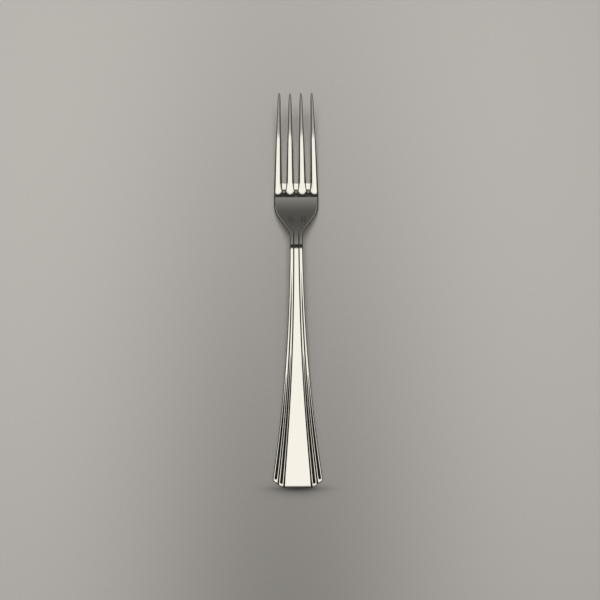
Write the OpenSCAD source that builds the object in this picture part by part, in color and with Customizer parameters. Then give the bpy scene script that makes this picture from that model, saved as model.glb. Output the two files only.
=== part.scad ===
// Dinner fork, lying on its back with the tines up.
// It is one stamped blank, kept here as the regions that a maker names.
// X runs across the fork, Y along it toward the tips, and Z up from the surface that it rests on.

/* [Length] */
// Length of the handle, from its end to the narrowest part of the neck
handle_length = 130.3; // [115:0.1:140]
// Length of the bowl, from the narrowest part of the neck to the roots of the slots
bowl_length = 29.5; // [26:0.5:34]
// Length of the tines, from the roots of the slots to the tips
tine_length = 42.4; // [36:0.5:50]

/* [Outline] */
// Width of the handle end, where its flare and its corners would cross
end_width = 25.6; // [22:0.1:28]
// Width of the straight edge that closes the handle end
end_edge_width = 15.3; // [10:0.1:17]
// Distance from the end of the handle to its broadest part
end_wide_at = 7; // [5:0.5:10]
// Angle of the corners of the handle end, from its straight edge
corner_angle = 34; // [30:1:50]
// How softly the corners turn into the flare
corner_softness = 0.9; // [0.6:0.1:2]
// Width of the neck at its narrowest
neck_width = 6.4; // [5:0.1:7.5]
// Width of the bowl at its broadest
bowl_width = 23.4; // [21:0.1:26]
// Distance from the narrowest part of the neck to the broadest part of the bowl
bowl_wide_past_neck = 21; // [18:0.5:23]
// Width over the four tines at their tips
tip_spread = 17.5; // [16.5:0.1:20]

/* [Side profile] */
// Rise of the handle, in degrees
handle_rise = 7.3; // [5:0.1:8.5]
// Fall from the neck into the bowl, in degrees
neck_fall = 45.5; // [36:0.5:48]
// Rise of the tines, in degrees
tine_rise = 15.2; // [12:0.1:18]
// Rise of the tips, in degrees
tip_rise = 23; // [16:0.5:28]
// Distance from the end of the handle to where it starts to rise
lift_at = 44; // [20:1:50]
// Length over which the handle starts to rise
lift_round = 14; // [8:1:18]
// Distance from the narrowest part of the neck to the corner of the arch
arch_past_neck = 1.9; // [0:0.1:4]
// Roundness of the arch
arch_round = 5.5; // [4:0.5:8]
// Distance from the corner under the bowl to the roots of the slots
belly_to_root_length = 12.9; // [11:0.1:15]
// Roundness of the back of the bowl
belly_round = 7.5; // [5:0.5:9]
// Distance from the roots of the slots to where the tines turn up toward their tips
upturn_past_root = 21.5; // [18:0.5:26]
// Roundness of that turn
upturn_round = 8; // [5:0.5:12]
// Depth of the small flats ground on the back, where the fork rests
rest_depth = 0.1; // [0.08:0.01:0.2]

/* [Thickness] */
// Thickness at the end of the handle
end_thickness = 2.4; // [2:0.1:3]
// Thickness at the neck
neck_thickness = 3.8; // [3:0.1:4.5]
// Thickness of the bowl
bowl_thickness = 2.2; // [1.8:0.1:2.6]
// Thickness at the tips of the tines
tip_thickness = 1.4; // [1.1:0.1:1.8]
// Height that the sides of the bowl curl up above its middle
bowl_dish = 0.5; // [0:0.05:1]
// Height that the edges of the broad end fall below its middle
handle_crown = 0.3; // [0:0.05:0.5]
// Radius of the polished edges of the bowl, of the tines at their roots and of the handle's end
edge_round = 0.9; // [0.6:0.05:0.95]
// Width over which the end of the handle is rounded
end_round_width = 1.3; // [0.9:0.05:1.6]
// Radius of the polished edges down the sides of the handle
handle_edge_round = 0.45; // [0.3:0.05:0.7]
// Radius of the polished edges of the shoulders
shoulder_edge_round = 1.35; // [0.9:0.05:1.4]
// Width over which the shoulders are rounded
shoulder_edge_width = 2.2; // [1.4:0.1:2.5]
// Radius of the polished edges at the tips
tip_edge_round = 0.42; // [0.3:0.02:0.44]

/* [Tines] */
// Width of a tine at its root
tine_root_width = 3.85; // [3.3:0.05:4.2]
// Width of a tine at its tip, before it is rounded off
tine_tip_width = 1.25; // [1.1:0.05:1.9]
// Length over which a tip is rounded off
tip_taper = 4; // [1.5:0.1:5]
// Length of the coined hollow that runs from a slot into the bowl
coin_length = 4; // [2.5:0.25:5]
// Length of the gentle slope down into it
coin_slope_length = 1.7; // [1:0.1:2.5]
// Rise of that slope toward the slot, in degrees
coin_slope_rise = 0.5; // [0:0.5:3]
// Rise of its floor toward the slot, in degrees
coin_floor_rise = 7; // [4:0.5:8]

/* [Handle pattern] */
// Width of the plain panel at the handle end
end_panel_width = 13.4; // [11:0.1:14.5]
// Width of the plain panel at the neck
neck_panel_width = 2.6; // [1.8:0.1:2.8]
// Half-width of a groove between two fingers, at the handle end
groove_half = 0.36; // [0.2:0.02:0.4]
// Depth of a groove between two fingers
groove_depth = 0.35; // [0.2:0.05:0.5]
// Greatest half-width of the hollow in a finger
hollow_half = 0.75; // [0.6:0.05:0.9]
// Greatest depth of the hollow in a finger
hollow_depth = 0.6; // [0.3:0.05:0.7]
// Length of the hollow in an inner finger
inner_hollow_length = 68; // [40:1:75]
// Length of the hollow in an outer finger
outer_hollow_length = 55; // [30:1:65]
// Metal left between a hollow and the edge of the handle end
hollow_margin = 1.5; // [1:0.1:2.5]
// Distance from the end of the handle to where the groove between two fingers runs out
middle_groove_length = 118; // [100:1:128]
// Length over which it runs out
middle_groove_fade = 25; // [15:1:40]
// Length over which the pattern fades out past the neck
pattern_fade = 12; // [8:1:14]

/* [Hidden] */
neck_at = handle_length;
root_at = handle_length + bowl_length;
tip_at = root_at + tine_length;
bowl_wide_at = neck_at + bowl_wide_past_neck;
arch_at = neck_at + arch_past_neck;
belly_at = root_at - belly_to_root_length;
upturn_at = root_at + upturn_past_root;
coin_at = root_at - coin_length;
coin_from = coin_at - coin_slope_length;
coin_turn = coin_at + coin_slope_length / 3;
stem_at = hollow_margin + inner_hollow_length + hollow_margin;
neck_start_at = neck_at - 2 * neck_width;
bowl_start_at = neck_at + neck_width / 2;

end_half = end_width / 2;
neck_half = neck_width / 2;
bowl_half = bowl_width / 2;
spread_half = tip_spread / 2;
root_half = tine_root_width / 2;

// Shape numbers that hold at any size.
flare_power = 2.05;
straight_share = 0.1;
spread_power = 1.25;
thicken_power = 1.6;
coin_power = 0.35;
coin_floor_share = 0.75;
tip_fullness_share = 0.75;
tip_blunt_share = 0.3;
tip_round_from_share = 0.45;
tip_round_to_share = 0.9;
neck_groove_share = 0.8;
probe = edge_round / 20;

function mix(a, b, t) = a + (b - a) * t;
function clamped(t) = min(1, max(0, t));
function ease(t) = let (u = clamped(t)) u * u * (3 - 2 * u);

// The lesser of two lengths, with the crossing rounded.
function soft_min(a, b, r) = (a + b - sqrt((a - b) * (a - b) + r * r)) / 2;

// Two straight legs that meet at x = 0, one flat and one rising 1 in 1, with the corner rounded.
function bend(x, r) = (x + sqrt(x * x + r * r)) / 2;
function bend_slope(x, r) = (1 + x / sqrt(x * x + r * r)) / 2;

// The drop of a rounded edge at a distance d inside it.
function round_over(d, r) = d >= r ? 0 : d <= 0 ? r : r - sqrt(r * r - (r - d) * (r - d));

// Half the width of the handle before its corners are cut.
function flare(s) = let (u = 1 - min(1, (s - end_wide_at) / (neck_at - end_wide_at)))
    mix(neck_half, end_half, mix(pow(u, flare_power), u, straight_share));

function handle_half(s) = soft_min(flare(s), end_edge_width / 2 + s / tan(corner_angle), corner_softness);

function shoulder_half(s) = let (u = (s - neck_at) / bowl_wide_past_neck)
    mix(neck_half, bowl_half, 1 - pow(1 - u * u, 4));

function spread_at(s) = mix(bowl_half, spread_half,
    pow((s - bowl_wide_at) / (tip_at - bowl_wide_at), spread_power));

// Half the width of the fork at a distance s from the end of its handle.
function half_at(s) = s < neck_at ? handle_half(s) : s < bowl_wide_at ? shoulder_half(s) : spread_at(s);

// How much less a distance square to the outline is than the distance across the fork.
function outline_lean(s) = let (turn = (half_at(s + probe) - half_at(max(0, s - probe))) / (2 * probe))
    1 / sqrt(1 + turn * turn);

function thickness_at(s) =
    s < neck_at ? mix(end_thickness, neck_thickness, pow(s / neck_at, thicken_power)) :
    s < bowl_wide_at ? mix(neck_thickness, bowl_thickness, ease((s - neck_at) / bowl_wide_past_neck)) :
    mix(bowl_thickness, tip_thickness, (s - bowl_wide_at) / (tip_at - bowl_wide_at));

// The side profile: a flat end, the rising handle, the fall from the arch, the tines and their upturn.
function middle(s) = tan(handle_rise) * bend(s - lift_at, lift_round)
    - (tan(handle_rise) + tan(neck_fall)) * bend(s - arch_at, arch_round)
    + (tan(neck_fall) + tan(tine_rise)) * bend(s - belly_at, belly_round)
    + (tan(tip_rise) - tan(tine_rise)) * bend(s - upturn_at, upturn_round);
function middle_slope(s) = tan(handle_rise) * bend_slope(s - lift_at, lift_round)
    - (tan(handle_rise) + tan(neck_fall)) * bend_slope(s - arch_at, arch_round)
    + (tan(neck_fall) + tan(tine_rise)) * bend_slope(s - belly_at, belly_round)
    + (tan(tip_rise) - tan(tine_rise)) * bend_slope(s - upturn_at, upturn_round);
function upright_thickness(s) = thickness_at(s) * sqrt(1 + middle_slope(s) * middle_slope(s));
function raw_back(s) = middle(s) - upright_thickness(s) / 2;

// The line that the fork rests on, from the end of the handle to the lowest place under the bowl.
belly_places = [for (k = [0:100]) mix(neck_at, root_at, k / 100)];
belly_backs = [for (s = belly_places) raw_back(s)];
belly_low = min(belly_backs);
rest_at = belly_places[search(belly_low, belly_backs)[0]];
function rest_line(s) = mix(raw_back(0), belly_low, s / rest_at) + rest_depth;
function back_at(s) = raw_back(s) - rest_line(s);

// How deep the edges are rounded, and over what width: both are greatest half way along the shoulders.
function on_shoulder(s) = pow(sin(180 * clamped((s - neck_at) / bowl_wide_past_neck)), 2);
function edge_at(s) =
    s < root_at ? mix(mix(handle_edge_round, edge_round, ease((s - neck_at) / bowl_wide_past_neck)),
        shoulder_edge_round, on_shoulder(s)) :
    mix(edge_round, tip_edge_round, (s - root_at) / tine_length);
function edge_width_at(s) = mix(edge_at(s), shoulder_edge_width, on_shoulder(s));

// The tines: half a tine's width, and the place across the fork of the outer and inner ones.
function tine_half(s) = let (left = (tip_at - s) / tip_taper)
    mix(root_half, tine_tip_width / 2, clamped((s - root_at) / tine_length))
    * (left >= 1 ? 1 : sqrt(1 - (1 - left) * (1 - left) * tip_fullness_share));
function outer_tine(s) = s < root_at ? (half_at(root_at) - root_half) * half_at(s) / half_at(root_at)
    : half_at(s) - mix(root_half, tine_tip_width / 2, (s - root_at) / tine_length);
function tine_at(s, k) = outer_tine(s) * k / 3;
slot_half = outer_tine(root_at) / 3 - root_half;

// Distance from the floor of the nearest coined hollow at the root of a slot.
function from_coin(s, x) = let (aside = min([for (k = [-2, 0, 2]) abs(x - tine_at(s, k))]))
    s < coin_at ? norm([aside, coin_at - s]) :
    aside - coin_floor_share * slot_half * pow((s - coin_at) / coin_length, coin_power);

// The drop into that hollow. Its floor starts nearly level, then rises less than the tines beside it.
function middle_front(s) = back_at(s) + upright_thickness(s);
function floor_of_coin(s) = middle_front(coin_from) + tan(coin_slope_rise) * (s - coin_from)
    + (tan(coin_floor_rise) - tan(coin_slope_rise)) * bend(s - coin_turn, coin_slope_length / 4);
function coined(s, x) = s <= coin_from ? 0
    : max(0, min(middle_front(s) - floor_of_coin(s), round_over(from_coin(s, x), edge_round)));

// The pattern: a plain panel, then two fingers a side that fan out with the flare.
function panel_half(s) = let (u = clamped((s - end_wide_at) / (neck_at - end_wide_at)))
    flare(s) * mix(end_panel_width / end_width, neck_panel_width / neck_width, ease(u));
function finger_at(s, share) = mix(panel_half(s), flare(s), share);
function v_cut(across, half, depth) = depth * max(0, 1 - across / half);
function groove(s, x, share, left) = let (half = groove_half * left
    * mix(neck_groove_share, 1, (flare(s) - neck_half) / (end_half - neck_half)))
    half <= 0 ? 0 : v_cut(abs(x - finger_at(s, share)), half, groove_depth * half / groove_half);
function corner_place(x) = max(0, (x - end_edge_width / 2) * tan(corner_angle));
function hollow(s, x, share, length) = let (
    from = corner_place(finger_at(0, share)) + hollow_margin,
    wide = hollow_half * sqrt(clamped(1 - (s - from) / length)),
    left = (s - from) / hollow_half,
    half = left <= 0 ? 0 : left < 1 ? wide * sqrt(1 - (1 - left) * (1 - left)) : wide)
    half <= 0 ? 0 : v_cut(abs(x - finger_at(s, share)), half, hollow_depth * half / hollow_half);
function pattern(s, x) = (1 - ease((s - neck_at) / pattern_fade)) * max(
    groove(s, x, 0, 1),
    groove(s, x, 0.5, ease((middle_groove_length - s) / middle_groove_fade)),
    hollow(s, x, 0.25, inner_hollow_length),
    hollow(s, x, 0.75, outer_hollow_length));

function crown_at(s) = handle_crown * (1 - ease((s - neck_start_at) / (bowl_wide_at - neck_start_at)));
function dish_at(s) = bowl_dish * ease((s - neck_at) / bowl_wide_past_neck);
function curl(s, x) = let (q = x / half_at(s)) dish_at(s) * q * q;
function front_level(s, x) = let (q = x / end_half)
    middle_front(s) + curl(s, x) - crown_at(s) * q * q;

// The drop of the edges round the outline of the blank, its slots apart.
function edge_drop(s, x) = max(round_over(s / end_round_width * edge_round, edge_round),
    round_over((half_at(s) - abs(x)) * outline_lean(s) / edge_width_at(s) * edge_at(s), edge_at(s)));

// The front and back of the blank, from the handle end to the roots of the slots.
function front(s, x) = front_level(s, x) - pattern(s, abs(x)) - max(edge_drop(s, x), coined(s, x));
function back(s, x) = max(0, back_at(s) + curl(s, x) + edge_drop(s, x));

// The front and back of a tine, whose middle is at c. Toward the tip its rounded edges meet along it.
function tine_wall(s) = mix(edge_at(s), tine_half(s),
    ease(((s - root_at) / tine_length - tip_round_from_share)
        / (tip_round_to_share - tip_round_from_share)));
function tine_drop(s, x, c) = let (
    r = edge_at(s),
    end = round_over(tip_at - s + r * tip_blunt_share, r),
    side = round_over((tine_half(s) - abs(x - c)) / tine_wall(s) * r, r))
    end + side - end * side / r;
function tine_front(s, x, c) = front_level(s, x) - tine_drop(s, x, c);
function tine_back(s, x, c) = back_at(s) + curl(s, x) + tine_drop(s, x, c);

// Columns across half of the blank, as shares of its half-width.
// Those that follow the pattern blend into those that follow the tines.
panel_shares = [0, 0.5, 0.94, 1];
finger_shares = [0.07, 0.125, 0.25, 0.375, 0.44, 0.5, 0.56, 0.625, 0.75, 0.875, 0.94, 1];
function pattern_columns(s) = let (p = panel_half(s) / flare(s))
    concat([for (q = panel_shares) q * p], [for (f = finger_shares) mix(p, 1, f)]);
function slot_columns(s) = let (
    w = half_at(root_at),
    e = edge_round,
    c = outer_tine(root_at) / 3,
    h = root_half)
    [for (x = [0, slot_half, slot_half + e / 3, slot_half + e, c, c + h - e, c + h - e / 3, c + h,
        2 * c, 3 * c - h, 3 * c - h + e / 3, 3 * c - h + e, 3 * c, w - e, w - e / 3, w]) x / w];
function columns(s) = let (
    t = ease((s - neck_at) / (coin_at - edge_round - neck_at)),
    a = pattern_columns(s),
    b = slot_columns(s))
    [for (j = [0:len(a) - 1]) mix(a[j], b[j], t)];
back_shares = [1, 0.96, 0.88, 0.6, 0.3, 0];

// One closed ring of points round the blank, across the front and back along the back.
function across(shares) = concat([for (j = [len(shares) - 1:-1:1]) -shares[j]], shares);
function blank_ring(s) = let (w = half_at(s), y = s - tip_at / 2) concat(
    [for (q = across(columns(s))) [q * w, y, front(s, q * w)]],
    [for (q = back_shares) [q * w, y, back(s, q * w)]],
    [for (j = [len(back_shares) - 2:-1:0]) [-back_shares[j] * w, y, back(s, back_shares[j] * w)]]);

root_shares = [0, 0.5, 0.75, 0.92, 1];
tip_shares = [0, 0.35, 0.6, 0.82, 1];
function tine_ring(s, k) = let (
    c = tine_at(s, k),
    y = s - tip_at / 2,
    shares = mix(root_shares, tip_shares, clamped((s - root_at) / tine_length)),
    across_tine = [for (q = across(shares)) c + q * tine_half(s)])
    concat([for (x = across_tine) [x, y, tine_front(s, x, c)]],
        [for (j = [len(across_tine) - 1:-1:0]) let (x = across_tine[j]) [x, y, tine_back(s, x, c)]]);

// A closed solid through a row of rings that all have as many points.
module loft(rings) {
    n = len(rings[0]);
    last = len(rings) - 1;
    sides = [for (i = [0:last - 1]) for (j = [0:n - 1]) let (
        a = i * n + j,
        b = i * n + (j + 1) % n,
        c = b + n,
        d = a + n)
        each [[a, d, c], [a, c, b]]];
    first_cap = [for (j = [0:n - 1]) j];
    last_cap = [for (j = [n - 1:-1:0]) last * n + j];
    polyhedron([for (r = rings) each r], concat([first_cap], sides, [last_cap]));
}

function steps(from, to, count) = [for (k = [0:count]) mix(from, to, k / count)];
function without_first(v) = [for (k = [1:len(v) - 1]) v[k]];

module blank(places) {
    loft([for (s = places) blank_ring(s)]);
}

module handle_end() {
    color("gainsboro")
        blank(concat(steps(0, end_round_width, 4),
            without_first(steps(end_round_width, 2 * end_wide_at, 16)),
            without_first(steps(2 * end_wide_at, stem_at, 14))));
}

module stem() {
    color("gainsboro") blank(steps(stem_at, neck_start_at, 14));
}

module neck() {
    color("gainsboro") blank(steps(neck_start_at, bowl_start_at, 10));
}

module bowl() {
    color("gainsboro")
        blank(concat(steps(bowl_start_at, coin_at - edge_round, 14),
            without_first(steps(coin_at - edge_round, coin_at, 3)),
            without_first(steps(coin_at, root_at, 5))));
}

module tine(k) {
    color("gainsboro")
        loft([for (s = concat(steps(root_at, tip_at - tip_taper, 12),
            without_first(steps(tip_at - tip_taper, tip_at, 6)))) tine_ring(s, k)]);
}

module left_outer_tine() tine(-3);
module left_inner_tine() tine(-1);
module right_inner_tine() tine(1);
module right_outer_tine() tine(3);

handle_end();
stem();
neck();
bowl();
left_outer_tine();
left_inner_tine();
right_inner_tine();
right_outer_tine();
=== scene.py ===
import bpy
import numpy as np
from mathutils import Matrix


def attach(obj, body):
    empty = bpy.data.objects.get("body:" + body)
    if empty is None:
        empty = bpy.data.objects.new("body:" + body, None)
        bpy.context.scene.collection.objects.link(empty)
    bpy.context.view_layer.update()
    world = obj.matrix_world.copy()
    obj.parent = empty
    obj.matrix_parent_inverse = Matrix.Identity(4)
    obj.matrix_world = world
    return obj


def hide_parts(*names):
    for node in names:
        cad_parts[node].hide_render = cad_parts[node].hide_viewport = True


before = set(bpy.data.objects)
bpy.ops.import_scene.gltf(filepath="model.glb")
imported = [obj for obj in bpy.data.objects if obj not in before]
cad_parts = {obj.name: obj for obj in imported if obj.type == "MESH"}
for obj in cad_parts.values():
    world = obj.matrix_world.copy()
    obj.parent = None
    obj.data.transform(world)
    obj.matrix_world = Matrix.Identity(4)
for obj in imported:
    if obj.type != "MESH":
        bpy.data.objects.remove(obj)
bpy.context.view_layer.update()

print("frame loaded:", ", ".join(sorted(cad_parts)))

millimetre = 0.001

# Sizes in millimetres, as the part has them. A place is a distance from the end of the handle.
lengths = {
    "handle": 130.3,       # to the narrowest part of the neck
    "bowl": 29.5,          # from there to the roots of the slots
    "tines": 42.4,
}
outline = {
    "endWidth": 25.6,
    "endEdge": 15.3,       # the straight edge that closes the handle
    "endWideAt": 7.0,
    "cornerAngle": 34.0,
    "cornerSoftness": 0.9,
    "neckWidth": 6.4,
    "bowlWidth": 23.4,
    "bowlWidePastNeck": 21.0,
    "tipSpread": 17.5,
    "flarePower": 2.05,
    "straightShare": 0.1,
    "spreadPower": 1.25,
}
sideLine = {
    "handleRise": 7.3,     # degrees
    "neckFall": 45.5,
    "tineRise": 15.2,
    "tipRise": 23.0,
    "liftAt": 44.0,
    "liftRound": 14.0,
    "archPastNeck": 1.9,
    "archRound": 5.5,
    "bellyToRoot": 12.9,
    "bellyRound": 7.5,
    "upturnPastRoot": 21.5,
    "upturnRound": 8.0,
    "restDepth": 0.1,      # worn flats where the back touches the table
}
gauge = {
    "end": 2.4,
    "neck": 3.8,
    "bowl": 2.2,
    "tip": 1.4,
    "power": 1.6,
    "dish": 0.5,           # the bowl's sides stand this much above its middle
    "crown": 0.3,          # the broad end's edges lie this much below its middle
    "edgeRound": 0.9,      # the bowl, the roots of the tines and the handle's end
    "endRoundWidth": 1.3,
    "handleEdgeRound": 0.45,
    "shoulderEdgeRound": 1.35,
    "shoulderEdgeWidth": 2.2,
    "tipEdgeRound": 0.42,
}
tines = {
    "rootWidth": 3.85,
    "tipWidth": 1.25,
    "tipTaper": 4.0,
    "tipFullness": 0.75,
    "tipBlunt": 0.3,
    "tipRoundFrom": 0.45,  # shares of a tine's length between which its rounded edges spread and meet
    "tipRoundTo": 0.9,
    "rootCrown": 0.17,     # a tine's edges lie this much below its middle at the root
    "crownBeforeCoin": 3.0,  # millimetres before the coined hollow where that begins
    "crownGrowth": 7.0,    # millimetres over which it grows
    "crownReach": 1.3,     # half-widths from a tine's middle, beyond which it goes no deeper
    "coinLength": 4.0,     # the hollow that runs from each slot into the bowl
    "coinSlope": 1.7,      # the gentle slope down into it
    "coinSlopeRise": 0.5,  # degrees
    "coinFloorRise": 7.0,
    "coinTurnAt": 1 / 3,   # shares of the gentle slope: where the floor turns, and how gently
    "coinTurnRound": 1 / 4,
    "coinPower": 0.35,
    "coinWidth": 0.75,     # the floor's width, as a share of the slot's
}
fingers = {
    "endPanel": 13.4,      # width of the plain panel at each end
    "neckPanel": 2.6,
    "grooveHalf": 0.36,
    "grooveDepth": 0.35,
    "neckGroove": 0.8,     # what is left of a groove's width at the neck
    "innerAt": 0.25,       # middles of the two fingers and of the groove between them,
    "middleAt": 0.5,       # as shares of the way from the panel to the edge
    "outerAt": 0.75,
    "middleGroove": 118.0,  # where the groove between two fingers runs out
    "middleFade": 25.0,
    "hollowHalf": 0.75,
    "hollowDepth": 0.6,
    "innerLength": 68.0,
    "outerLength": 55.0,
    "margin": 1.5,
    "fade": 12.0,
    "softness": 0.08,      # how much polishing has rounded the cuts
    "innerLean": 10.0,     # degrees that the inner lane of a finger leans toward the panel
    "leanFadesFrom": 25.0,
    "leanFadesTo": 70.0,
    "leastWidth": 1e-3,    # millimetres, for a cut that has run out
}
columns = {                # steps of the mesh round a ring
    "panel": 10,           # from the middle to the first groove, or across half of the middle slot
    "groove": 12,          # across a groove, or down a slot's rounded side
    "lane": 14,            # across half a finger, or half a tine's root
    "wall": 3,             # down a side, between its two rounded edges
    "back": 16,
    "backEdge": 10,
    "tine": 8,
    "tineEdge": 16,
    "rimMost": 0.12,       # shares of the half-width that the front's and the back's edges take at most
    "backEdgeMost": 0.3,
    "tineFlatLeast": 0.04,
}
rowSteps = {               # steps of the mesh along the fork
    "endRound": 16,
    "fingerEnds": 90,
    "handle": 110,
    "stem": 89,
    "neck": 49,
    "bowl": 89,
    "coinEdge": 16,
    "coin": 30,
    "tine": 89,
    "tip": 20,
}
fingerEndsTo = 14.0        # millimetres from the handle's end, where the closer rows end

neckAt = lengths["handle"]
rootAt = neckAt + lengths["bowl"]
tipAt = rootAt + lengths["tines"]
bowlWideAt = neckAt + outline["bowlWidePastNeck"]
coinAt = rootAt - tines["coinLength"]
coinFrom = coinAt - tines["coinSlope"]
rootHalf = tines["rootWidth"] / 2
edgeRound = gauge["edgeRound"]
neckStartAt = neckAt - 2 * outline["neckWidth"]


def mix(a, b, t):
    return a + (b - a) * t


def ease(t):
    # Three times the square less twice the cube, held between 0 and 1.
    u = np.clip(t, 0, 1)
    return u * u * (3 - 2 * u)


def softMin(a, b, r):
    # The lesser of the two, with the crossing turned into a hyperbola.
    return (a + b - np.hypot(a - b, r)) / 2


def bend(x, r):
    # A level leg that turns into one rising 1 in 1 at x = 0, as a hyperbola.
    return (x + np.hypot(x, r)) / 2


def bendSlope(x, r):
    return (1 + x / np.hypot(x, r)) / 2


def roundOver(d, r):
    # The drop of a quarter circle of radius r at a distance d inside an edge.
    inside = np.clip(d, 0, r)
    return r - np.sqrt(np.maximum(r * r - (r - inside) ** 2, 0))


def flare(s):
    # Half the handle's width: a power of the distance left to the neck, with a little of it straight.
    u = 1 - np.minimum(1, (s - outline["endWideAt"]) / (neckAt - outline["endWideAt"]))
    share = mix(u ** outline["flarePower"], u, outline["straightShare"])
    return mix(outline["neckWidth"] / 2, outline["endWidth"] / 2, share)


def halfWidth(s):
    # Cut corners, then the flare, then the shoulders, then the gentle taper of the bowl and tines.
    corner = outline["endEdge"] / 2 + s / np.tan(np.radians(outline["cornerAngle"]))
    handle = softMin(flare(s), corner, outline["cornerSoftness"])
    u = np.clip((s - neckAt) / outline["bowlWidePastNeck"], 0, 1)
    shoulder = mix(outline["neckWidth"] / 2, outline["bowlWidth"] / 2, 1 - (1 - u * u) ** 4)
    v = np.clip((s - bowlWideAt) / (tipAt - bowlWideAt), 0, None)
    spread = mix(outline["bowlWidth"] / 2, outline["tipSpread"] / 2, v ** outline["spreadPower"])
    return np.where(s < neckAt, handle, np.where(s < bowlWideAt, shoulder, spread))


def outlineLean(s):
    # The cosine of the outline's angle to the fork's length.
    probe = edgeRound / 20
    turn = (halfWidth(s + probe) - halfWidth(np.maximum(s - probe, 0))) / (2 * probe)
    return 1 / np.sqrt(1 + turn * turn)


def thickness(s):
    handle = mix(gauge["end"], gauge["neck"], np.clip(s / neckAt, 0, 1) ** gauge["power"])
    shoulder = mix(gauge["neck"], gauge["bowl"], ease((s - neckAt) / outline["bowlWidePastNeck"]))
    rest = mix(gauge["bowl"], gauge["tip"], (s - bowlWideAt) / (tipAt - bowlWideAt))
    return np.where(s < neckAt, handle, np.where(s < bowlWideAt, shoulder, rest))


def legs():
    # Each turn of the side line: how much steeper the next leg is, where it turns, and how gently.
    kinds = ("handleRise", "neckFall", "tineRise", "tipRise")
    rise, fall, lift, upturn = (np.tan(np.radians(sideLine[kind])) for kind in kinds)
    return (
        (rise, sideLine["liftAt"], sideLine["liftRound"]),
        (-rise - fall, neckAt + sideLine["archPastNeck"], sideLine["archRound"]),
        (fall + lift, rootAt - sideLine["bellyToRoot"], sideLine["bellyRound"]),
        (upturn - lift, rootAt + sideLine["upturnPastRoot"], sideLine["upturnRound"]),
    )


def uprightThickness(s):
    slope = sum(turn * bendSlope(s - at, r) for turn, at, r in legs())
    return thickness(s) * np.sqrt(1 + slope * slope)


def rawBack(s):
    return sum(turn * bend(s - at, r) for turn, at, r in legs()) - uprightThickness(s) / 2


bellyPlaces = np.linspace(neckAt, rootAt, 101)
bellyBacks = rawBack(bellyPlaces)
restAt = bellyPlaces[bellyBacks.argmin()]


def backLevel(s):
    # The back, turned so that the handle's end and the bowl both rest on the table.
    return rawBack(s) - mix(rawBack(0.0), bellyBacks.min(), s / restAt) - sideLine["restDepth"]


def onShoulder(s):
    return np.sin(np.pi * np.clip((s - neckAt) / outline["bowlWidePastNeck"], 0, 1)) ** 2


def edgeRadius(s):
    blank = mix(gauge["handleEdgeRound"], edgeRound, ease((s - neckAt) / outline["bowlWidePastNeck"]))
    blank = mix(blank, gauge["shoulderEdgeRound"], onShoulder(s))
    return np.where(s < rootAt, blank, mix(edgeRound, gauge["tipEdgeRound"], (s - rootAt) / lengths["tines"]))


def tineHalf(s):
    # A straight taper, rounded off at the tip as part of an ellipse.
    left = np.clip((tipAt - s) / tines["tipTaper"], 0, 1)
    along = np.clip((s - rootAt) / lengths["tines"], 0, 1)
    return mix(rootHalf, tines["tipWidth"] / 2, along) * np.sqrt(1 - (1 - left) ** 2 * tines["tipFullness"])


def outerTine(s):
    # How far the middle of an outer tine is from the fork's middle.
    along = np.clip((s - rootAt) / lengths["tines"], 0, 1)
    root = halfWidth(rootAt)
    before = (root - rootHalf) * halfWidth(s) / root
    return np.where(s < rootAt, before, halfWidth(s) - mix(rootHalf, tines["tipWidth"] / 2, along))


slotHalf = float(outerTine(rootAt)) / 3 - rootHalf


def fromCoin(s, x):
    # Distance from the floor of the nearest coined hollow, which widens from a round end to its slot.
    reach = outerTine(s)
    aside = np.minimum(np.abs(x), np.abs(np.abs(x) - reach * 2 / 3))
    along = np.clip((s - coinAt) / tines["coinLength"], 0, 1)
    floorHalf = tines["coinWidth"] * slotHalf * along ** tines["coinPower"]
    return np.where(s < coinAt, np.hypot(aside, coinAt - s), aside - floorHalf)


def coinFloorLevel(s):
    # The hollow's floor starts nearly level, then rises less than the tines beside it.
    first = np.tan(np.radians(tines["coinSlopeRise"]))
    then = np.tan(np.radians(tines["coinFloorRise"]))
    start = backLevel(coinFrom) + uprightThickness(coinFrom)
    turnAt = coinAt + tines["coinSlope"] * tines["coinTurnAt"]
    turn = bend(s - turnAt, tines["coinSlope"] * tines["coinTurnRound"])
    return start + first * (s - coinFrom) + (then - first) * turn


def coined(s, x):
    # The drop into that hollow: a rounded wall, down to the floor.
    depth = backLevel(s) + uprightThickness(s) - rootCrown(s, x) - coinFloorLevel(s)
    return np.minimum(np.clip(depth, 0, None) * (s > coinFrom), roundOver(fromCoin(s, x), edgeRound))


def panelHalf(s):
    u = ease((s - outline["endWideAt"]) / (neckAt - outline["endWideAt"]))
    shareAtEnd = fingers["endPanel"] / outline["endWidth"]
    shareAtNeck = fingers["neckPanel"] / outline["neckWidth"]
    return flare(s) * mix(shareAtEnd, shareAtNeck, u)


def vCut(across, half, depth):
    # A straight-walled cut, with its bottom and its two lips rounded by polishing.
    soft = fingers["softness"]
    walls = 1 - np.sqrt((across / half) ** 2 + soft ** 2)
    return depth * (walls + np.sqrt(walls * walls + soft ** 2)) / 2


def groove(s, x, share, left):
    # A cut beside a finger, narrower where the fingers draw together.
    spread = (flare(s) - outline["neckWidth"] / 2) / (outline["endWidth"] / 2 - outline["neckWidth"] / 2)
    narrow = np.maximum(mix(fingers["neckGroove"], 1, spread) * left, fingers["leastWidth"])
    at = mix(panelHalf(s), flare(s), share)
    return vCut(np.abs(x - at), fingers["grooveHalf"] * narrow, fingers["grooveDepth"] * narrow)


def hollowStart(share):
    # Where the wide end of a hollow is, a margin in from the cut corner.
    atEnd = mix(panelHalf(0.0), flare(0.0), share)
    corner = (atEnd - outline["endEdge"] / 2) * np.tan(np.radians(outline["cornerAngle"]))
    return max(0.0, corner) + fingers["margin"]


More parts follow.
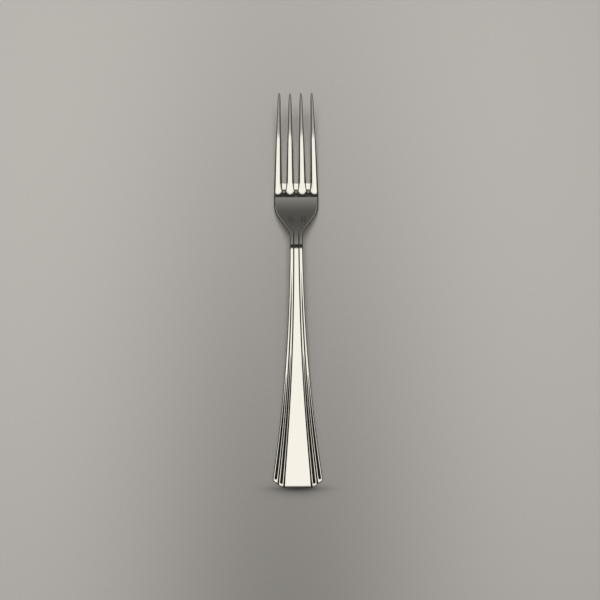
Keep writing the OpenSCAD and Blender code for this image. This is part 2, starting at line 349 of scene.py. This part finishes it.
def hollow(s, x, share, length):
    # A straight-walled hollow down a finger, round at its wide end and running out to nothing.
    at = mix(panelHalf(s), flare(s), share)
    start = hollowStart(share)
    left = np.clip((s - start) / fingers["hollowHalf"], 0, 1)
    wide = fingers["hollowHalf"] * np.sqrt(np.clip(1 - (s - start) / length, 0, 1) * (1 - (1 - left) ** 2))
    depth = fingers["hollowDepth"] * wide / fingers["hollowHalf"]
    return vCut(np.abs(x - at), np.maximum(wide, fingers["leastWidth"]), depth)


def pattern(s, x):
    # The greatest of the cuts (the grooves beside the panel and between the fingers, and the hollow in
    # each finger), with the lean of each finger's inner lane added, fading out at the neck.
    side = np.abs(x)
    panel, edge = panelHalf(s), flare(s)
    share = (side - panel) / (edge - panel)
    middles = np.where(share < fingers["middleAt"], fingers["innerAt"], fingers["outerAt"])
    inFinger = (middles - share) * (share > 0)
    steep = np.tan(np.radians(fingers["innerLean"]))
    fade = 1 - ease((s - fingers["leanFadesFrom"]) / (fingers["leanFadesTo"] - fingers["leanFadesFrom"]))
    lean = steep * fade * np.clip(inFinger, 0, None) * (edge - panel)
    cuts = np.maximum.reduce([
        groove(s, side, 0.0, 1.0),
        groove(s, side, fingers["middleAt"], ease((fingers["middleGroove"] - s) / fingers["middleFade"])),
        hollow(s, side, fingers["innerAt"], fingers["innerLength"]),
        hollow(s, side, fingers["outerAt"], fingers["outerLength"]),
    ])
    return (cuts + lean) * (1 - ease((s - neckAt) / fingers["fade"]))


def curl(s, x):
    q = x / halfWidth(s)
    return gauge["dish"] * ease((s - neckAt) / outline["bowlWidePastNeck"]) * q * q


def rootCrown(s, x):
    # Each tine's crown: the square of the distance from its middle, from the bowl fading out to the tip.
    reach = outerTine(s)
    aside = np.minimum(np.abs(np.abs(x) - reach / 3), np.abs(np.abs(x) - reach))
    start = coinAt - tines["crownBeforeCoin"]
    grown = ease((s - start) / tines["crownGrowth"]) * (1 - ease((s - rootAt) / lengths["tines"]))
    return tines["rootCrown"] * grown * np.clip(aside / rootHalf, 0, tines["crownReach"]) ** 2


def frontLevel(s, x):
    q = 2 * x / outline["endWidth"]
    crown = gauge["crown"] * (1 - ease((s - neckStartAt) / (bowlWideAt - neckStartAt)))
    return backLevel(s) + uprightThickness(s) + curl(s, x) - crown * q * q - rootCrown(s, x)


def edgeDrop(s, x):
    # The drop of the rounded edges round the outline.
    side = (halfWidth(s) - np.abs(x)) * outlineLean(s)
    radius = edgeRadius(s)
    reach = mix(radius, gauge["shoulderEdgeWidth"], onShoulder(s))
    atEnd = roundOver(s / gauge["endRoundWidth"] * edgeRound, edgeRound)
    return np.maximum(atEnd, roundOver(side / reach * radius, radius))


def blankFront(s, x):
    return frontLevel(s, x) - pattern(s, x) - np.maximum(edgeDrop(s, x), coined(s, x))


def blankBack(s, x):
    return np.maximum(0, backLevel(s) + curl(s, x) + edgeDrop(s, x))


def evenSteps(a, b, count):
    # Even steps from a to b, without a. Both are numbers, or columns with a value for each row.
    t = np.linspace(0, 1, count + 1)[1:]
    return a * (1 - t) + b * t


def roundSteps(a, b, count):
    # Steps from a to b that crowd together toward b, as the points of a quarter circle do.
    return mix(a, b, np.sin(evenSteps(0, np.pi / 2, count)))


def widening(count):
    # Shares from 0 to 1 that crowd together at their start, as the points of a quarter circle do.
    return 1 - np.cos(evenSteps(0, np.pi / 2, count))


def patternColumns(s):
    # Columns across half of the handle, as shares of its half-width, for every row at once.
    panel = panelHalf(s) / flare(s)
    lip = fingers["grooveHalf"] / flare(s)
    rim = 1 - np.minimum(gauge["handleEdgeRound"] / halfWidth(s), columns["rimMost"])
    inner, middle, outer = (mix(panel, 1, fingers[at]) for at in ("innerAt", "middleAt", "outerAt"))
    return np.concatenate([
        np.zeros_like(panel),
        evenSteps(0, panel - lip, columns["panel"]),
        evenSteps(panel - lip, panel + lip, columns["groove"]),
        evenSteps(panel + lip, inner, columns["lane"]),
        evenSteps(inner, middle - lip, columns["lane"]),
        evenSteps(middle - lip, middle + lip, columns["groove"]),
        evenSteps(middle + lip, outer, columns["lane"]),
        evenSteps(outer, rim, columns["lane"]),
        roundSteps(rim, 1, columns["lane"]),
    ], axis=1)


def slotColumns():
    # Columns across half of the bowl at the roots of the slots, in the same number.
    middle = float(outerTine(rootAt)) / 3
    width = float(halfWidth(rootAt))
    return np.concatenate([
        [0.0],
        evenSteps(0, slotHalf, columns["panel"]),
        slotHalf + edgeRound * widening(columns["groove"]),
        evenSteps(slotHalf + edgeRound, middle + rootHalf - edgeRound, columns["lane"]),
        roundSteps(middle + rootHalf - edgeRound, middle + rootHalf, columns["lane"]),
        evenSteps(middle + rootHalf, 3 * middle - rootHalf, columns["groove"]),
        3 * middle - rootHalf + edgeRound * widening(columns["lane"]),
        evenSteps(3 * middle - rootHalf + edgeRound, width - edgeRound, columns["lane"]),
        roundSteps(width - edgeRound, width, columns["lane"]),
    ]) / width


def edgedColumns(flat, across, overEdge):
    # Columns across half of a face, in even steps over its flat share and round steps over its edge.
    return np.concatenate([
        np.zeros_like(flat),
        evenSteps(0, flat, across),
        roundSteps(flat, 1, overEdge),
    ], axis=1)


def bothSides(half):
    return np.concatenate([-half[:, :0:-1], half], axis=1)


def ringGrid(s, x, z):
    # A row for each place s along the fork, with Y measured from the middle of its length.
    return np.stack([x, np.broadcast_to(s - tipAt / 2, x.shape), z], axis=2)


def blankGrid(rows):
    # The blank as one grid. Each row goes across the front, down a side, back along the back and up the
    # other side. Its columns follow the fingers on the handle, and move over to the slots by the bowl.
    s = rows[:, None]
    width = halfWidth(s)
    toSlots = ease((s - neckAt) / (coinAt - edgeRound - neckAt))
    front = bothSides(mix(patternColumns(s), slotColumns(), toSlots)) * width
    flat = 1 - np.minimum(edgeRound / width, columns["backEdgeMost"])
    back = bothSides(edgedColumns(flat, columns["back"], columns["backEdge"]))[:, ::-1] * width
    wall = np.ones(columns["wall"])
    down = evenSteps(0, 1, columns["wall"] + 1)[:-1]
    topEdge, backEdge = blankFront(s, width), blankBack(s, width)
    x = np.concatenate([front, width * wall, back, -width * wall], axis=1)
    z = np.concatenate([
        blankFront(s, front),
        mix(topEdge, backEdge, down),
        blankBack(s, back),
        mix(backEdge, topEdge, down),
    ], axis=1)
    return ringGrid(s, x, z)


def tineGrid(rows, k):
    # A tine as one grid. Each row goes across its front, down a side, back along its back and up the
    # other side. Its rounded edges grow wider toward the tip, until they meet along its middle.
    s = rows[:, None]
    half, radius = tineHalf(s), edgeRadius(s)
    middle = outerTine(s) * k / 3
    along = (s - rootAt) / lengths["tines"]
    spread = (along - tines["tipRoundFrom"]) / (tines["tipRoundTo"] - tines["tipRoundFrom"])
    edge = mix(radius, half, ease(spread))
    flat = np.maximum(1 - edge / half, columns["tineFlatLeast"])
    front = bothSides(edgedColumns(flat, columns["tine"], columns["tineEdge"])) * half
    across = roundOver((half - np.abs(front)) / edge * radius, radius)
    end = roundOver(tipAt - s + radius * tines["tipBlunt"], radius)
    drop = end + across - end * across / radius
    x = middle + front
    top = frontLevel(s, x) - drop
    under = backLevel(s) + curl(s, x) + drop
    wall = np.ones(columns["wall"])
    down = evenSteps(0, 1, columns["wall"] + 1)[:-1]
    x = np.concatenate([x, (middle + half) * wall, x[:, ::-1], (middle - half) * wall], axis=1)
    z = np.concatenate([
        top,
        mix(top[:, -1:], under[:, -1:], down),
        under[:, ::-1],
        mix(under[:, :1], top[:, :1], down),
    ], axis=1)
    return ringGrid(s, x, z)


def gridNormals(grid):
    # The cross product of the steps along the ring and along the rows, at each point.
    around = np.roll(grid, -1, axis=1) - np.roll(grid, 1, axis=1)
    along = np.gradient(grid, axis=0)
    normals = np.cross(around, along)
    return normals / np.maximum(np.linalg.norm(normals, axis=2, keepdims=True), 1e-12)


dullShadedEdge = {
    "from": 0.985,             # cosine of the turn from the sheet's own face where an edge starts to dull and take the painted dark outline
    "fromOnShoulder": 0.93,
    "fade": 0.1,               # how much further that cosine falls until the edge is fully dull and fully painted dark
    "sideFade": 0.2,           # the cosine below which it clears again, down to the upright sides
    "probe": 0.1,              # millimetres to either side over which the face's slope is measured
}


def flankOf(grid, normals):
    # How far the front has turned from the sheet's own face: 0 on it, 1 round its edges, 0 down its sides.
    # The steel turns rougher there and takes a painted dark outline.
    s = grid[..., 1] + tipAt / 2
    probe = dullShadedEdge["probe"]
    slope = (frontLevel(s + probe, 0.0) - frontLevel(s - probe, 0.0)) / (2 * probe)
    facing = (normals[..., 2] - slope * normals[..., 1]) / np.sqrt(1 + slope * slope)
    start = mix(dullShadedEdge["from"], dullShadedEdge["fromOnShoulder"], onShoulder(s))
    turned = 1 - ease((facing - start + dullShadedEdge["fade"]) / dullShadedEdge["fade"])
    return turned * ease(facing / dullShadedEdge["sideFade"])


def recessOf(grid):
    # How deep each point lies in the pattern, as a share of the deepest hollow. The steel's painted shade in
    # the cuts is drawn from it.
    s, x = grid[..., 1] + tipAt / 2, grid[..., 0]
    front = grid[..., 2] > backLevel(s) + uprightThickness(s) / 2
    depth = pattern(s, x) / fingers["hollowDepth"]
    return np.where(front, np.clip(depth, 0, 1), 0)


def ringSolid(name, grid, normals):
    # A closed solid through the rings, with a flat cap at each end.
    rows, around = grid.shape[:2]
    i, j = np.meshgrid(np.arange(rows - 1), np.arange(around), indexing="ij")
    here, there = i * around + j, i * around + (j + 1) % around
    sides = np.stack([here, there, there + around, here + around], axis=-1).reshape(-1, 4)
    caps = [list(range(around))[::-1], list(range((rows - 1) * around, rows * around))]
    mesh = bpy.data.meshes.new(name)
    mesh.from_pydata((grid.reshape(-1, 3) * millimetre).tolist(), [], sides.tolist() + caps)
    mesh.polygons.foreach_set("use_smooth", np.ones(len(mesh.polygons), dtype=bool))
    # The recess and flank values, from which the steel's material paints shade into the cuts and a dark
    # outline round the edges.
    for key, values in (("recess", recessOf(grid)), ("flank", flankOf(grid, normals))):
        shade = mesh.attributes.new(key, "FLOAT", "POINT")
        shade.data.foreach_set("value", values.reshape(-1).astype(np.float32))
    mesh.normals_split_custom_set_from_vertices(normals.reshape(-1, 3).tolist())
    mesh.update()
    piece = bpy.data.objects.new(name, mesh)
    bpy.context.scene.collection.objects.link(piece)
    return piece


def linear(code):
    # An sRGB hex colour as linear light.
    parts = [int(code[k:k + 2], 16) / 255 for k in (1, 3, 5)]
    return [p / 12.92 if p <= 0.04045 else ((p + 0.055) / 1.055) ** 2.4 for p in parts] + [1.0]


def addNode(tree, kind, settings=None, inputs=None):
    # One node with its settings, and its sockets set to values or linked from other nodes' sockets.
    node = tree.nodes.new(kind)
    for key, value in (settings or {}).items():
        setattr(node, key, value)
    for key, value in (inputs or {}).items():
        if isinstance(value, bpy.types.NodeSocket):
            tree.links.new(value, node.inputs[key])
        else:
            node.inputs[key].default_value = value
    return node


def newTree(name):
    material = bpy.data.materials.new(name)
    material.use_nodes = True
    material.node_tree.nodes.clear()
    return material, material.node_tree


noiseSpan = (0.3, 0.7)           # nearly all of a noise's values lie between these

steelLook = {
    "colour": "#D2CFC8",         # 18/10 stainless under a neutral light
    "paintedShadeColour": "#34312C",     # painted dark: shade in the cuts and an outline on the rounded edges, both also left rougher as the buffing wheel reaches them least
    "roughness": 0.06,
    "dullRoughness": 0.33,
    "dullShadedCuts": (0.25, 0.5),     # shares of the deepest hollow between which a cut turns dull and takes the painted shade
    "hairlineSpacing": 0.12,     # millimetres between polishing lines
    "hairlineChanges": 60.0,     # how often a hairline changes in a metre of its length
    "hairlineDepth": 0.0004,     # millimetres
    "smudgeSize": 9.0,           # millimetres across a patch of finer or coarser polish
    "smudgeRange": (0.75, 1.35),  # times the roughness, over such patches
}


def polishedStainlessSteel():
    # Stamped stainless, buffed to a mirror along its length: clear reflections, faint hairlines along the
    # fork, and cuts and edges that stay dull, with shade painted into the cuts and a dark outline painted
    # round the edges.
    look = steelLook
    material, tree = newTree("polished_stainless_steel")
    place = addNode(tree, "ShaderNodeTexCoord").outputs["Object"]
    closeness = 1 / (look["hairlineSpacing"] * millimetre)
    lines = addNode(tree, "ShaderNodeMapping", inputs={
        "Vector": place, "Scale": (closeness, look["hairlineChanges"], closeness)})
    hairlines = addNode(tree, "ShaderNodeTexNoise", inputs={
        "Vector": lines.outputs["Vector"], "Scale": 1.0, "Detail": 3.0, "Roughness": 0.6})
    smudges = addNode(tree, "ShaderNodeTexNoise", inputs={
        "Vector": place, "Scale": 1 / (look["smudgeSize"] * millimetre), "Detail": 4.0, "Roughness": 0.55})
    # Painted shade: the cuts and the rounded edges turn rougher and are painted darker.
    recess = addNode(tree, "ShaderNodeAttribute", {"attribute_name": "recess"})
    flank = addNode(tree, "ShaderNodeAttribute", {"attribute_name": "flank"})
    inCut = addNode(tree, "ShaderNodeMapRange", {"interpolation_type": "SMOOTHSTEP"}, {
        "Value": recess.outputs["Fac"], "From Min": look["dullShadedCuts"][0], "From Max": look["dullShadedCuts"][1]})
    dullAndShaded = addNode(tree, "ShaderNodeMath", {"operation": "MAXIMUM"}, {
        0: inCut.outputs["Result"], 1: flank.outputs["Fac"]})
    polish = addNode(tree, "ShaderNodeMapRange", inputs={
        "Value": smudges.outputs["Fac"], "From Min": noiseSpan[0], "From Max": noiseSpan[1],
        "To Min": look["roughness"] * look["smudgeRange"][0],
        "To Max": look["roughness"] * look["smudgeRange"][1]})
    dulled = addNode(tree, "ShaderNodeMapRange", inputs={
        "Value": dullAndShaded.outputs[0], "From Min": 0.0, "From Max": 1.0,
        "To Min": polish.outputs["Result"], "To Max": look["dullRoughness"]})
    # The painted shade and outline, mixed into the steel's colour.
    colour = addNode(tree, "ShaderNodeMix", {"data_type": "RGBA"}, {
        "Factor": dullAndShaded.outputs[0], 6: linear(look["colour"]), 7: linear(look["paintedShadeColour"])})
    bump = addNode(tree, "ShaderNodeBump", inputs={
        "Strength": 1.0, "Distance": look["hairlineDepth"] * millimetre, "Height": hairlines.outputs["Fac"]})
    shader = addNode(tree, "ShaderNodeBsdfPrincipled", inputs={
        "Base Color": colour.outputs[2], "Metallic": 1.0,
        "Roughness": dulled.outputs["Result"], "Normal": bump.outputs["Normal"]})
    addNode(tree, "ShaderNodeOutputMaterial", inputs={"Surface": shader.outputs["BSDF"]})
    return material


floorLook = {
    "colour": "#C7C4C0",         # pale grey laminate
    "size": 8.0,                 # metres
    "roughness": 0.6,
    "grain": 1.5,                # millimetres across a speck
    "speckle": (0.985, 1.015),   # times the tone, over the specks
    "paintedShades": (                  # painted soft shades, darkening the table's colour: depth, middle (x, y) and widths (x, y) in metres
        (0.488, (-0.0060, -0.1911), (0.0850, 0.3270)),  # a painted soft shadow below and round the fork
        (0.450, (0.0, -0.1025), (0.0120, 0.0035)),      # the last two a painted contact shadow where the handle's end rests
        (0.750, (0.0, -0.1021), (0.0120, 0.0014))),
    "fall": (-0.19, -0.73),      # painted light gradient: change of tone in a metre across and along
    "fallTo": 0.165,             # metres from the middle
}


def greyLaminate():
    # A pale matt table top: an even grey with a speckle just short of showing, with a soft shadow below the
    # fork, a contact shadow at the handle's end and a gradient of light painted into its colour.
    look = floorLook
    material, tree = newTree("pale_grey_laminate")
    place = addNode(tree, "ShaderNodeTexCoord").outputs["Object"]
    grain = addNode(tree, "ShaderNodeTexNoise", inputs={
        "Vector": place, "Scale": 1 / (look["grain"] * millimetre), "Detail": 2.0})
    speck = addNode(tree, "ShaderNodeMapRange", inputs={
        "Value": grain.outputs["Fac"], "From Min": noiseSpan[0], "From Max": noiseSpan[1],
        "To Min": look["speckle"][0], "To Max": look["speckle"][1]})
    # Each painted shade is e to the minus square of the distance from its middle, in shares of its widths.
    shade = 1.0
    for deep, (atX, atY), (wideX, wideY) in look["paintedShades"]:
        away = addNode(tree, "ShaderNodeMapping", inputs={
            "Vector": place, "Location": (-atX / wideX, -atY / wideY, 0), "Scale": (1 / wideX, 1 / wideY, 0)})
        square = addNode(tree, "ShaderNodeVectorMath", {"operation": "DOT_PRODUCT"}, {
            0: away.outputs["Vector"], 1: away.outputs["Vector"]})
        minus = addNode(tree, "ShaderNodeMath", {"operation": "MULTIPLY"}, {
            0: square.outputs["Value"], 1: -1.0})
        depth = addNode(tree, "ShaderNodeMath", {"operation": "EXPONENT"}, {0: minus.outputs[0]})
        left = addNode(tree, "ShaderNodeMath", {"operation": "MULTIPLY_ADD"}, {
            0: depth.outputs[0], 1: -deep, 2: 1.0})
        shade = addNode(tree, "ShaderNodeMath", {"operation": "MULTIPLY"}, {
            0: left.outputs[0], 1: shade}).outputs[0]
    # The painted light gradient across and along the table, held level beyond fallTo from the middle.
    parts = addNode(tree, "ShaderNodeSeparateXYZ", inputs={"Vector": place})
    falls = [addNode(tree, "ShaderNodeMapRange", inputs={
        "Value": parts.outputs[axis], "From Min": -look["fallTo"], "From Max": look["fallTo"],
        "To Min": -change * look["fallTo"], "To Max": change * look["fallTo"]})
        for axis, change in zip("XY", look["fall"])]
    fall = addNode(tree, "ShaderNodeMath", {"operation": "ADD"}, {
        0: falls[0].outputs["Result"], 1: falls[1].outputs["Result"]})
    slant = addNode(tree, "ShaderNodeMath", {"operation": "ADD"}, {0: fall.outputs[0], 1: 1.0})
    shaded = addNode(tree, "ShaderNodeMath", {"operation": "MULTIPLY"}, {0: shade, 1: slant.outputs[0]})
    tone = addNode(tree, "ShaderNodeMath", {"operation": "MULTIPLY"}, {
        0: shaded.outputs[0], 1: speck.outputs["Result"]})
    colour = addNode(tree, "ShaderNodeVectorMath", {"operation": "SCALE"}, {
        0: linear(look["colour"])[:3], "Scale": tone.outputs[0]})
    shader = addNode(tree, "ShaderNodeBsdfPrincipled", inputs={
        "Base Color": colour.outputs[0], "Roughness": look["roughness"]})
    addNode(tree, "ShaderNodeOutputMaterial", inputs={"Surface": shader.outputs["BSDF"]})
    return material


# The room that the steel mirrors, by angle from straight up: negative away from the handle's end.
room = {
    "colour": "#FFFEF9",
    "levels": (
        (-90, 0.115), (-70, 0.131), (-55, 0.165), (-40, 0.194), (-25, 0.248), (-12, 0.303), (-6.2, 0.36),
        (-5.0, 0.035), (0.6, 0.035),              # the dark strip straight above
        (1.6, 1.42), (22.3, 1.42),                # the bright panel over the handle
        (24.3, 0.6), (27, 0.55), (30, 0.04), (90, 0.04)),
    "sides": (12.0, 24.0),       # degrees to either side, between which the ceiling turns dark
    "sideTone": 0.03,
    "lowSides": (22.0, 42.0),    # the same beyond the tips, low down
    "lowTone": 0.09,
    "lowFrom": (-20.0, -45.0),   # where that begins
    "wallTone": 0.55,            # pale walls, except beyond the tips
    "wallFrom": (31.0, 42.0),    # degrees from straight up, between which they begin
    "wallAhead": (0.05, 0.4),    # how far they reach toward the tips, as a share of the way there
    "wallSides": (25.0, 37.0),   # degrees to either side of the tips, between which they begin again
}


def studioRoom():
    world = bpy.data.worlds.new("studio_room")
    bpy.context.scene.world = world
    world.use_nodes = True
    tree = world.node_tree
    tree.nodes.clear()
    peak = max(level for angle, level in room["levels"])

    def between(socket, low, high, atLow=0.0, atHigh=1.0):
        return addNode(tree, "ShaderNodeMapRange", {"interpolation_type": "SMOOTHSTEP"}, {
            "Value": socket, "From Min": float(low), "From Max": float(high),
            "To Min": atLow, "To Max": atHigh}).outputs["Result"]

    def product(a, b):
        return addNode(tree, "ShaderNodeMath", {"operation": "MULTIPLY"}, {0: a, 1: b}).outputs[0]

    def blend(share, a, b):
        return addNode(tree, "ShaderNodeMix", {"data_type": "FLOAT"}, {
            "Factor": share, 2: a, 3: b}).outputs[0]

    way = addNode(tree, "ShaderNodeTexCoord").outputs["Generated"]
    parts = addNode(tree, "ShaderNodeSeparateXYZ", inputs={"Vector": way})
    across = addNode(tree, "ShaderNodeMath", {"operation": "ABSOLUTE"}, {0: parts.outputs["X"]}).outputs[0]
    toward = product(parts.outputs["Y"], -1.0)
    lean = addNode(tree, "ShaderNodeMath", {"operation": "ARCTAN2"}, {
        0: toward, 1: parts.outputs["Z"]}).outputs[0]
    share = addNode(tree, "ShaderNodeMapRange", inputs={
        "Value": lean, "From Min": -np.pi / 2, "From Max": np.pi / 2, "To Min": 0.0, "To Max": 1.0})
    ramp = addNode(tree, "ShaderNodeValToRGB", inputs={"Fac": share.outputs["Result"]})
    elements = ramp.color_ramp.elements
    while len(elements) < len(room["levels"]):
        elements.new(0.5)
    for element, (angle, level) in zip(elements, room["levels"]):
        element.position = (angle + 90) / 180
        element.color = (level / peak, level / peak, level / peak, 1)
    ahead = between(lean, *np.radians(room["lowFrom"][::-1]), 1.0, 0.0)
    sides = between(across, *np.sin(np.radians(room["sides"])))
    lowSides = between(across, *np.sin(np.radians(room["lowSides"])))
    front = ramp.outputs["Color"]
    side = blend(ahead, room["sideTone"] / peak, room["lowTone"] / peak)
    ceiling = blend(blend(ahead, sides, lowSides), front, side)
    low = between(parts.outputs["Z"], *np.cos(np.radians(room["wallFrom"][::-1])), 1.0, 0.0)
    behind = between(parts.outputs["Y"], *room["wallAhead"], 1.0, 0.0)
    beside = between(across, *np.sin(np.radians(room["wallSides"])))
    walls = addNode(tree, "ShaderNodeMath", {"operation": "MAXIMUM"}, {0: behind, 1: beside}).outputs[0]
    tone = blend(product(low, walls), ceiling, room["wallTone"] / peak)
    warm = addNode(tree, "ShaderNodeVectorMath", {"operation": "SCALE"}, {
        0: linear(room["colour"])[:3], "Scale": tone})
    light = addNode(tree, "ShaderNodeBackground", inputs={"Color": warm.outputs[0], "Strength": peak})
    addNode(tree, "ShaderNodeOutputWorld", inputs={"Surface": light.outputs["Background"]})
    world.cycles_visibility.diffuse = False    # the steel mirrors the room; the lamps light the table


lamps = {                        # watts, metres a side, and place in metres
    "overhead": (60, 8, (0, 0, 2.5)),
    "above_the_tips": (3.0, 0.3, (0, 0.22, 0.6)),
}
lampColour = "#FFFDFA"


def softLight(name, power, size, place):
    # A soft square light, facing straight down, that neither the camera nor the mirror finish shows.
    data = bpy.data.lights.new(name, "AREA")
    data.shape = "RECTANGLE"
    data.energy, data.size, data.size_y = power, size, size
    data.color = linear(lampColour)[:3]
    lamp = bpy.data.objects.new(name, data)
    lamp.location = place
    lamp.visible_glossy = False
    lamp.visible_camera = False
    bpy.context.scene.collection.objects.link(lamp)


camera = {
    "height": 0.31,              # metres above the table
    "pixel": 0.5287,             # millimetres of table that a pixel of the photograph covers
    "frame": 600,                # pixels
    "aside": 3.2,                # pixels from the fork's middle line to the middle of the picture
    "along": -2.35,              # millimetres along the fork, at the middle of the picture
    "turn": -0.33,               # degrees
    "sensor": 36.0,              # millimetres
    "clip": (0.01, 20.0),        # metres
}


def makeCamera():
    data = bpy.data.cameras.new("camera")
    view = bpy.data.objects.new("camera", data)
    bpy.context.scene.collection.objects.link(view)
    bpy.context.scene.camera = view
    across = camera["frame"] * camera["pixel"] * millimetre
    data.sensor_fit, data.sensor_width = "AUTO", camera["sensor"]
    data.lens = data.sensor_width * camera["height"] / across
    data.clip_start, data.clip_end = camera["clip"]
    aside = camera["aside"] * camera["pixel"] * millimetre
    view.location = (aside, camera["along"] * millimetre, camera["height"])
    view.rotation_euler = (0.0, 0.0, np.radians(camera["turn"]))


makeCamera()
studioRoom()
for name, (power, size, place) in lamps.items():
    softLight(name, power, size, place)
print("camera, room and lights made")

floorMesh = bpy.data.meshes.new("table_top")
half = floorLook["size"] / 2
corners = [(-half, -half, 0), (half, -half, 0), (half, half, 0), (-half, half, 0)]
floorMesh.from_pydata(corners, [], [(0, 1, 2, 3)])
floor = bpy.data.objects.new("table_top", floorMesh)
bpy.context.scene.collection.objects.link(floor)
floorMesh.materials.append(greyLaminate())

steel = polishedStainlessSteel()


def finishPiece(piece, node):
    piece.data.materials.append(steel)
    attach(piece, "root")
    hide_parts(node)


# Rows along the blank, closer together where the shape turns quickly.
stemAt = 2 * fingers["margin"] + fingers["innerLength"]
bowlStartAt = neckAt + outline["neckWidth"] / 2
regions = {
    "handle_end": np.concatenate([
        [0.0],
        gauge["endRoundWidth"] * widening(rowSteps["endRound"]),
        evenSteps(gauge["endRoundWidth"], fingerEndsTo, rowSteps["fingerEnds"]),
        evenSteps(fingerEndsTo, stemAt, rowSteps["handle"]),
    ]),
    "stem": evenSteps(stemAt, neckStartAt, rowSteps["stem"]),
    "neck": evenSteps(neckStartAt, bowlStartAt, rowSteps["neck"]),
    "bowl": np.concatenate([
        evenSteps(bowlStartAt, coinAt - edgeRound, rowSteps["bowl"]),
        evenSteps(coinAt - edgeRound, coinAt, rowSteps["coinEdge"]),
        coinAt + tines["coinLength"] * evenSteps(0, 1, rowSteps["coin"]) ** 2,
    ]),
}
wholeBlank = blankGrid(np.concatenate(list(regions.values())))
wholeNormals = gridNormals(wholeBlank)
first, last = 0, 0
for name, rows in regions.items():
    last += len(rows)
    piece = ringSolid(name + "_finish", wholeBlank[first:last], wholeNormals[first:last])
    finishPiece(piece, name)
    first = last - 1             # the next piece starts on this one's last row
print("handle, neck and bowl made")

tineNames = {"left_outer_tine": -3, "left_inner_tine": -1, "right_inner_tine": 1, "right_outer_tine": 3}
tineRows = np.concatenate([
    [rootAt],
    evenSteps(rootAt, tipAt - tines["tipTaper"], rowSteps["tine"]),
    roundSteps(tipAt - tines["tipTaper"], tipAt, rowSteps["tip"]),
])
for name, k in tineNames.items():
    grid = tineGrid(tineRows, k)
    finishPiece(ringSolid(name + "_finish", grid, gridNormals(grid)), name)
print("tines made")

bpy.context.scene.view_settings.view_transform = "Standard"
